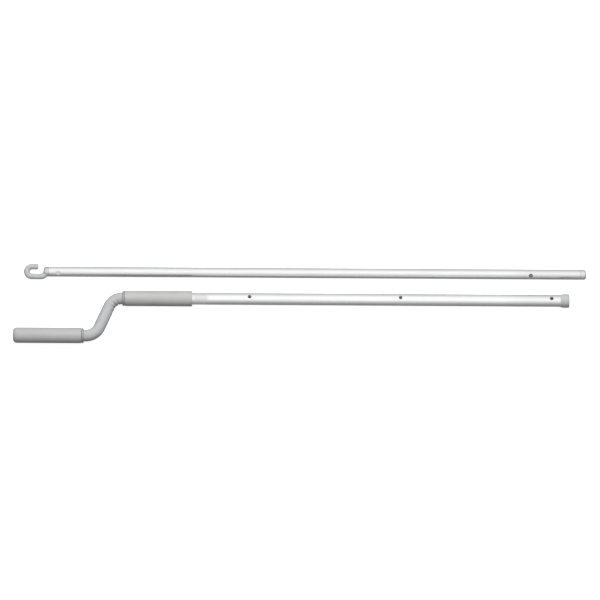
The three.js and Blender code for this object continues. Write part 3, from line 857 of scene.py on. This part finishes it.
def lock_spring():
    """A folded leaf, drawn as (x, height) points round its centre line."""
    line = [(x, LEAF_HEIGHT) for x in spread(LEAF_OVERHANG, -LEAF_OVERHANG, 3)]
    for a in spread(QUARTER_TURN, 3 * QUARTER_TURN, 16):
        line.append((-LEAF_REACH + LEAF_BEND_R * math.cos(a), LEAF_BEND_R * math.sin(a)))
    line += [(x, -LEAF_HEIGHT) for x in spread(-LEAF_OVERHANG, LEAF_OVERHANG, 3)]
    faces = {1: [], -1: []}
    for i, point in enumerate(line):
        before = Vector(line[max(i - 1, 0)])
        after = Vector(line[min(i + 1, len(line) - 1)])
        along = (after - before).normalized()
        for side, points in faces.items():
            x = point[0] - side * along.y * LEAF_THICKNESS / 2
            points.append((x, point[1] + side * along.x * LEAF_THICKNESS / 2))
    outline = faces[1] + faces[-1][::-1]
    origin = lock_centre - lock_across * LEAF_WIDTH / 2
    leaf = slab("lock_spring", outline, origin, (1, 0, 0), lock_out, lock_across, LEAF_WIDTH, 0.12 * MM)
    hole_r = BUTTON_TAIL_R + GAP
    below = LEAF_HEIGHT - 2 * LEAF_THICKNESS
    above = LEAF_HEIGHT + 2 * LEAF_THICKNESS
    hole = [(below, 0), (below, hole_r), (above, hole_r), (above, 0)]
    tool = turned("tail_hole", straight(lock_centre, lock_out, (1, 0, 0)), hole, SMALL_SIDES)
    return cut(leaf, tool)


# --- Materials ------------------------------------------------------------------------------------------


def add_node(tree, kind, values=None, **settings):
    """A new node with its settings made and each input set, or linked where its value is a socket."""
    made = tree.nodes.new(kind)
    for key, value in settings.items():
        setattr(made, key, value)
    for key, value in (values or {}).items():
        if isinstance(value, bpy.types.NodeSocket):
            tree.links.new(value, made.inputs[key])
        else:
            made.inputs[key].default_value = value
    return made


class Look:
    """A procedural material: a Principled shader and short calls for the nodes that feed it."""

    def __init__(self, name, metallic, specular=0.5):
        self.material = bpy.data.materials.new(name)
        self.material.use_nodes = True
        self.tree = self.material.node_tree
        self.shader = self.tree.nodes["Principled BSDF"]
        self.shader.inputs["Metallic"].default_value = metallic
        self.shader.inputs["Specular IOR Level"].default_value = specular
        self.place = self.node("ShaderNodeTexCoord").outputs["Object"]

    def node(self, kind, values=None, **settings):
        return add_node(self.tree, kind, values, **settings)

    def noise(self, cells, detail=3, roughness=0.55, shift=0):
        """Noise with so many cells to the metre along X, Y and Z."""
        values = {"Vector": self.place, "Scale": cells, "Location": (shift, shift, shift)}
        place = self.node("ShaderNodeMapping", values)
        values = {"Vector": place.outputs[0], "Scale": 1, "Detail": detail, "Roughness": roughness}
        return self.node("ShaderNodeTexNoise", values).outputs["Fac"]

    def between(self, value, low, high, start=0.3, end=0.7):
        """Maps value from start..end to low..high, with no overshoot."""
        values = {"Value": value, "From Min": start, "From Max": end, "To Min": low, "To Max": high}
        return self.node("ShaderNodeMapRange", values).outputs["Result"]

    def math(self, operation, a, b):
        return self.node("ShaderNodeMath", {0: a, 1: b}, operation=operation).outputs[0]

    def mixed(self, factor, a, b):
        """Mixes two colours, each a socket or an RGB triple. The node's colour sockets are 6 and 7."""
        a, b = (c if isinstance(c, bpy.types.NodeSocket) else (*c, 1) for c in (a, b))
        return self.node("ShaderNodeMix", {0: factor, 6: a, 7: b}, data_type="RGBA").outputs[2]

    def finish(self, color, roughness, heights):
        """heights are (height, distance in metres, strength), one bump on the next."""
        self.tree.links.new(color, self.shader.inputs["Base Color"])
        self.tree.links.new(roughness, self.shader.inputs["Roughness"])
        normal = None
        for height, distance, strength in heights:
            values = {"Height": height, "Distance": distance, "Strength": strength}
            if normal:
                values["Normal"] = normal
            normal = self.node("ShaderNodeBump", values).outputs["Normal"]
        self.tree.links.new(normal, self.shader.inputs["Normal"])
        return self.material


def aluminium(name, light, dark, stretches=()):
    """Drawn tube: streaks and fine scratches along X.

    stretches are duller lengths: (start, end, length that they fade over, tone, extra roughness).
    """
    look = Look(name, metallic=1)
    streaks = look.noise((5, 620, 620), 4, 0.6)
    hairs = look.noise((22, 2600, 2600), 2, 0.5, shift=3)
    clouds = look.noise((14, 60, 60), 3, 0.6, shift=7)
    scratches = look.between(look.noise((60, 1500, 1500), 2, 0.4, shift=11), 0, 1, 0.66, 0.74)
    tone = look.math("ADD", look.math("MULTIPLY", streaks, 0.6), look.math("MULTIPLY", clouds, 0.4))
    color = look.mixed(look.between(tone, 0, 1, 0.35, 0.65), dark, light)
    roughness = look.between(streaks, 0.2, 0.3)
    roughness = look.math("ADD", roughness, look.math("MULTIPLY", scratches, 0.08))
    x = look.node("ShaderNodeSeparateXYZ", {0: look.place}).outputs["X"]
    # Each stretch mixes in a darker colour: a real satin finish for the band by the grip, painted shade
    # for the others
    for start, end, fade, tone, rougher in stretches:
        begun = look.between(x, 0, 1, start - fade, start)
        inside = look.math("MULTIPLY", begun, look.between(x, 1, 0, end - fade, end))
        color = look.mixed(look.math("MULTIPLY", inside, 0.8), color, tuple(tone * c for c in light))
        roughness = look.math("ADD", roughness, look.math("MULTIPLY", inside, rougher))
    heights = [(streaks, 0.03 * MM, 0.25), (hairs, 0.01 * MM, 0.35), (scratches, -0.01 * MM, 0.3)]
    return look.finish(color, roughness, heights)


def moulded(name, light, dark, roughness, grain, specular=0.4):
    """Moulded plastic: faint flow clouds, a fine grain of so many cells to the metre, and dull scuffs."""
    look = Look(name, metallic=0, specular=specular)
    clouds = look.noise((22, 60, 60), 4, 0.6)
    fine = look.noise((grain, grain, grain), 3, 0.6, shift=5)
    scuffs = look.between(look.noise((90, 260, 260), 5, 0.7, shift=9), 0, 1, 0.6, 0.72)
    tone = look.math("ADD", look.math("MULTIPLY", clouds, 0.7), look.math("MULTIPLY", fine, 0.3))
    color = look.mixed(look.between(tone, 0, 1, 0.38, 0.62), dark, light)
    scuffed = tuple(min(1.12 * c, 1) for c in light)
    color = look.mixed(look.math("MULTIPLY", scuffs, 0.22), color, scuffed)
    rough = look.between(fine, roughness - 0.06, roughness + 0.06)
    rough = look.math("ADD", rough, look.math("MULTIPLY", scuffs, 0.08))
    return look.finish(color, rough, [(clouds, 0.05 * MM, 0.2), (fine, 0.05 * MM, 0.5)])


def coated(name, light, dark):
    """Powder coat: orange peel, faint clouds and specks in the colour, and smoother rub marks."""
    look = Look(name, metallic=0, specular=0.45)
    peel = look.noise((620, 620, 620), 2, 0.5)
    clouds = look.noise((30, 45, 45), 4, 0.6, shift=4)
    specks = look.noise((2400, 2400, 2400), 1, 0.5, shift=8)
    rubs = look.between(look.noise((45, 190, 190), 5, 0.7, shift=12), 0, 1, 0.61, 0.7)
    tone = look.math("ADD", look.math("MULTIPLY", clouds, 0.6), look.math("MULTIPLY", specks, 0.4))
    color = look.mixed(look.between(tone, 0, 1, 0.38, 0.62), dark, light)
    color = look.mixed(look.math("MULTIPLY", rubs, 0.25), color, tuple(0.9 * c for c in dark))
    roughness = look.between(peel, 0.42, 0.56)
    roughness = look.math("SUBTRACT", roughness, look.math("MULTIPLY", rubs, 0.1))
    return look.finish(color, roughness, [(peel, 0.12 * MM, 0.35), (specks, 0.02 * MM, 0.3)])


def plated(name, light, dark, rough_low, rough_high, spangle=420, metallic=1):
    """Plated steel: soft spangle, a cloudy film, a fine matte grain, and short scratches."""
    look = Look(name, metallic)
    values = {"Vector": look.place, "Scale": spangle}
    cells = look.node("ShaderNodeTexVoronoi", values, feature="SMOOTH_F1")
    patches = look.node("ShaderNodeSeparateColor", {0: cells.outputs["Color"]}).outputs[0]
    clouds = look.noise((120, 160, 160), 5, 0.62, shift=2)
    grain = look.noise((1500, 1500, 1500), 3, 0.6, shift=10)
    scratches = look.between(look.noise((190, 1100, 1100), 3, 0.5, shift=6), 0, 1, 0.62, 0.72)
    film = look.math("ADD", look.math("MULTIPLY", clouds, 0.35), look.math("MULTIPLY", grain, 0.3))
    tone = look.math("ADD", look.math("MULTIPLY", patches, 0.35), film)
    color = look.mixed(look.between(tone, 0, 1, 0.3, 0.72), dark, light)
    roughness = look.between(grain, rough_low, rough_high)
    roughness = look.math("ADD", roughness, look.math("MULTIPLY", scratches, 0.1))
    heights = [(clouds, 0.03 * MM, 0.1), (grain, 0.03 * MM, 0.4), (scratches, -0.02 * MM, 0.5)]
    return look.finish(color, roughness, heights)


def lathed(name, light, dark, roughness, pitch):
    """Turned metal: tool rings square to X, of that pitch in metres."""
    look = Look(name, metallic=1)
    x = look.node("ShaderNodeSeparateXYZ", {0: look.place}).outputs["X"]
    phase = look.math("MULTIPLY", x, 2 * HALF_TURN / pitch)
    rings = look.between(look.math("SINE", phase, 0), 0, 1, -1, 1)
    clouds = look.noise((160, 160, 160), 4, 0.6)
    nicks = look.between(look.noise((500, 900, 900), 3, 0.6, shift=5), 0, 1, 0.63, 0.72)
    tone = look.math("ADD", look.math("MULTIPLY", rings, 0.25), look.math("MULTIPLY", clouds, 0.75))
    color = look.mixed(look.between(tone, 0, 1, 0.25, 0.75), dark, light)
    rough = look.between(clouds, roughness - 0.07, roughness + 0.07)
    rough = look.math("ADD", rough, look.math("MULTIPLY", nicks, 0.1))
    return look.finish(color, rough, [(rings, 0.02 * MM, 0.3), (nicks, -0.02 * MM, 0.3)])


# Duller stretches of the tubes: a satin band beside the upper grip, and painted shade (a darker colour
# with a little more roughness) along both tubes' collar ends and the rod's hook end
satin_band = (grip_mouth + 7 * MM, grip_mouth + RING_OFFSETS[-1] + 9 * MM, 9 * MM, 0.88, 0.3)
# painted shade: both tubes darkened over a length round the collar end
painted_shade_collar_end = (mouth_x - 85 * MM, mouth_x + 100 * MM, 60 * MM, 0.87, 0.03)
# painted shade: the rod darkened over a length from its hook end
painted_shade_hook_end = (rod.left, rod.left + 110 * MM, 60 * MM, 0.95, 0.08)
LOOKS = {
    "aluminium_tube": aluminium("drawn_aluminium", (0.95, 0.952, 0.955), (0.86, 0.863, 0.87)),
    "grey_coat": coated("grey_powder_coat", (0.44, 0.445, 0.457), (0.4, 0.405, 0.415)),
    "grip_plastic": moulded(
        "soft_grip", (0.422, 0.422, 0.42), (0.382, 0.382, 0.38), 0.48, grain=1700, specular=0.75
    ),
    "hard_plastic": moulded("hard_liner", (0.335, 0.336, 0.338), (0.295, 0.296, 0.298), 0.45, grain=900),
    "collar_plastic": moulded(
        "collar_moulding", (0.452, 0.455, 0.462), (0.412, 0.415, 0.421), 0.46, grain=1200, specular=0.6
    ),
    "zinc_steel": plated(
        "zinc_plate", (0.7, 0.705, 0.715), (0.57, 0.575, 0.59), 0.6, 0.74, metallic=0.75
    ),
    "plug_metal": lathed("turned_plug", (0.75, 0.752, 0.76), (0.64, 0.643, 0.65), 0.42, 0.35 * MM),
    "spring_steel": plated(
        "spring_steel", (0.42, 0.425, 0.44), (0.27, 0.275, 0.29), 0.28, 0.4, spangle=900
    ),
    "button_steel": plated(
        "button_steel", (0.33, 0.332, 0.34), (0.25, 0.252, 0.26), 0.4, 0.5, spangle=900
    ),
}
tube_look = aluminium(
    "drawn_aluminium_banded", (0.955, 0.957, 0.96), (0.875, 0.878, 0.885), [satin_band, painted_shade_collar_end]
)
warm_grip = moulded(
    "soft_grip_warm", (0.435, 0.435, 0.422), (0.396, 0.396, 0.384), 0.48, grain=1700, specular=0.75
)
rod_look = aluminium(
    "drawn_aluminium_rod", (0.905, 0.907, 0.91), (0.82, 0.823, 0.83), [painted_shade_hook_end, painted_shade_collar_end]
)
tip_look = lathed("turned_tip", (0.83, 0.832, 0.838), (0.74, 0.743, 0.75), 0.4, 0.3 * MM)

# --- Pieces on their bodies -----------------------------------------------------------------------------

body_of = {node: body for body, nodes in frame["record"]["behaviour"]["bodies"].items() for node in nodes}


def stands_for(piece, node, slot, look=None, bends=None):
    """Puts the piece in the node's place, on the node's body, or, where bends are given, baked into place
    on no body.

    It takes its own look, or else the slot's.
    """
    piece.data.materials.clear()
    piece.data.materials.append(look or LOOKS[slot])
    even = piece.modifiers.new("even_normals", "WEIGHTED_NORMAL")
    even.keep_sharp = True
    if bends:
        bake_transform(piece)
    else:
        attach(piece, body_of[node])
    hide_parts(node)


stands_for(crank_arm(), "crank_arm", "grey_coat")
stands_for(straight_tube(), "outer_tube", "aluminium_tube", tube_look)
stands_for(joint_sleeve(), "joint_sleeve", "aluminium_tube")
stands_for(joint_pin("arm_pin", "joint_pin_arm"), "joint_pin_arm", "spring_steel")
stands_for(joint_pin("tube_pin", "joint_pin_tube"), "joint_pin_tube", "spring_steel")
stands_for(retaining_ring(), "upper_retaining_ring", "spring_steel")
stands_for(end_collar(), "mouth_collar", "collar_plastic")
stands_for(leg_plug(), "lower_end_plug", "hard_plastic")
stands_for(leg_washer(), "lower_end_washer", "zinc_steel")
stands_for(leg_screw(), "lower_end_screw", "zinc_steel")
lower_core = grip_core("lower_grip_core", "lower_grip_liner", leg_line, 1)
stands_for(lower_core, "lower_grip_liner", "hard_plastic")
stands_for(lower_cover(), "lower_grip_sleeve", "grip_plastic")
upper_core = grip_core("upper_grip_core", "upper_grip_liner", tube_line, -1)
stands_for(upper_core, "upper_grip_liner", "hard_plastic")
stands_for(upper_cover(), "upper_grip_sleeve", "grip_plastic", warm_grip)
stands_for(rod_wall(), "rod_tube", "aluminium_tube", rod_look)
stands_for(hook_bar(), "hook", "zinc_steel")
stands_for(hook_end_plug(), "hook_plug", "plug_metal")
stands_for(rod_tip(), "tip_plug", "plug_metal", tip_look)
stands_for(lock_spring(), "snap_spring", "spring_steel", bends=leaf_bends)
stands_for(lock_button(), "snap_button", "button_steel")

# --- Floor, light and camera ----------------------------------------------------------------------------

FLOOR_HALF = 40
FLOOR_DROP = 0.1 * MM
FLOOR_WHITE = 0.9
FLOOR_ROUGHNESS = 0.9
FLOOR_GLOW = 0.75


def add_floor():
    """A pale floor that glows a little, as a sweep lit from below does."""
    mesh = bpy.data.meshes.new("floor")
    half = FLOOR_HALF
    corners = [(-half, -half), (half, -half), (half, half), (-half, half)]
    mesh.from_pydata([(x, y, -FLOOR_DROP) for x, y in corners], [], [(0, 1, 2, 3)])
    floor = bpy.data.objects.new("floor", mesh)
    scene.collection.objects.link(floor)
    material = bpy.data.materials.new("floor_white")
    material.use_nodes = True
    shader = material.node_tree.nodes["Principled BSDF"]
    shader.inputs["Base Color"].default_value = (FLOOR_WHITE, FLOOR_WHITE, FLOOR_WHITE, 1)
    shader.inputs["Roughness"].default_value = FLOOR_ROUGHNESS
    shader.inputs["Emission Color"].default_value = (1, 1, 1, 1)
    shader.inputs["Emission Strength"].default_value = FLOOR_GLOW
    mesh.materials.append(material)
    floor.visible_glossy = False
    floor.visible_diffuse = False


# Brightness round the X axis, by degrees from straight up: minus is towards +Y, plus towards -Y
SKY = [
    (-180, 0.25), (-140, 0.4), (-100, 0.6), (-69, 0.73), (-44, 0.95), (-23, 1.09), (-3, 1.14), (16, 1.11),
    (35, 0.96), (55, 0.75), (76, 0.51), (99, 0.35), (126, 0.27), (160, 0.22), (180, 0.25),
]
SKY_TOP = max(level for _, level in SKY)
DIFFUSE_SHARE = 0.5
SIDE_LEVEL = 0.55


def add_world():
    """A studio tent: bright above, darker towards the floor and both ends. The camera sees it as white."""
    world = bpy.data.worlds.new("tent")
    scene.world = world
    world.use_nodes = True
    tree = world.node_tree
    tree.nodes.clear()

    def node(kind, values=None, **settings):
        return add_node(tree, kind, values, **settings).outputs

    place = node("ShaderNodeTexCoord")["Generated"]
    parts = node("ShaderNodeSeparateXYZ", {0: place})
    towards_front = node("ShaderNodeMath", {0: parts["Y"], 1: -1}, operation="MULTIPLY")[0]
    angle = node("ShaderNodeMath", {0: towards_front, 1: parts["Z"]}, operation="ARCTAN2")[0]
    share = node("ShaderNodeMapRange", {"Value": angle, "From Min": -HALF_TURN, "From Max": HALF_TURN})
    sky = add_node(tree, "ShaderNodeValToRGB", {"Fac": share["Result"]})
    sky.color_ramp.interpolation = "CARDINAL"
    elements = sky.color_ramp.elements
    while len(elements) < len(SKY):
        elements.new(0.5)
    for element, (degrees, level) in zip(elements, SKY):
        element.position = (degrees + 180) / 360
        element.color = (*[level / SKY_TOP] * 3, 1)
    end_on = node("ShaderNodeMath", {0: parts["X"], 1: 2}, operation="POWER")[0]
    side = node("ShaderNodeMapRange", {"Value": end_on, "To Min": 1, "To Max": SIDE_LEVEL})["Result"]
    rays = node("ShaderNodeLightPath")
    levels = {"Value": rays["Is Diffuse Ray"], "To Min": SKY_TOP, "To Max": SKY_TOP * DIFFUSE_SHARE}
    brightness = node("ShaderNodeMapRange", levels)["Result"]
    dimmed = node("ShaderNodeMath", {0: brightness, 1: side}, operation="MULTIPLY")[0]
    tent = node("ShaderNodeBackground", {"Color": sky.outputs["Color"], "Strength": dimmed})[0]
    white = node("ShaderNodeBackground", {"Color": (1, 1, 1, 1)})[0]
    seen = node("ShaderNodeMixShader", {0: rays["Is Camera Ray"], 1: tent, 2: white})[0]
    node("ShaderNodeOutputWorld", {"Surface": seen})


LAMP_PLACE = (0, 0.75, 2.85)
LAMP_SIZE = (3, 2)
LAMP_POWER = 92


def add_overhead():
    """A large soft lamp that aims at the object and shows in no reflection."""
    data = bpy.data.lights.new("overhead", "AREA")
    data.shape = "RECTANGLE"
    data.size, data.size_y = LAMP_SIZE
    data.energy = LAMP_POWER
    lamp = bpy.data.objects.new("overhead", data)
    scene.collection.objects.link(lamp)
    lamp.location = LAMP_PLACE
    lamp.rotation_mode = "QUATERNION"
    lamp.rotation_quaternion = (-Vector(LAMP_PLACE)).to_track_quat("-Z", "Y")
    lamp.visible_glossy = False
    lamp.visible_camera = False


CAMERA_ELEVATION = math.radians(70)
CAMERA_DISTANCE = 16
CAMERA_ROLL = 0.006
VIEW_WIDTH = 1.25
VIEW_CENTRE = 14.25 * MM


def add_camera():
    """A long lens from above and in front, so far off that nearly no perspective is left."""
    data = bpy.data.cameras.new("camera")
    data.sensor_width = 36
    data.lens = data.sensor_width * CAMERA_DISTANCE / VIEW_WIDTH
    camera = bpy.data.objects.new("camera", data)
    scene.collection.objects.link(camera)
    back = Vector((0, -math.cos(CAMERA_ELEVATION), math.sin(CAMERA_ELEVATION)))
    target = Vector((0, (VIEW_CENTRE + rod.z * back.y) / back.z, rod.z))
    camera.location = target + back * CAMERA_DISTANCE
    camera.rotation_mode = "QUATERNION"
    camera.rotation_quaternion = (-back).to_track_quat("-Z", "Y") @ Quaternion((0, 0, 1), CAMERA_ROLL)
    scene.camera = camera


add_floor()
add_world()
add_overhead()
add_camera()
scene.view_settings.view_transform = "Standard"
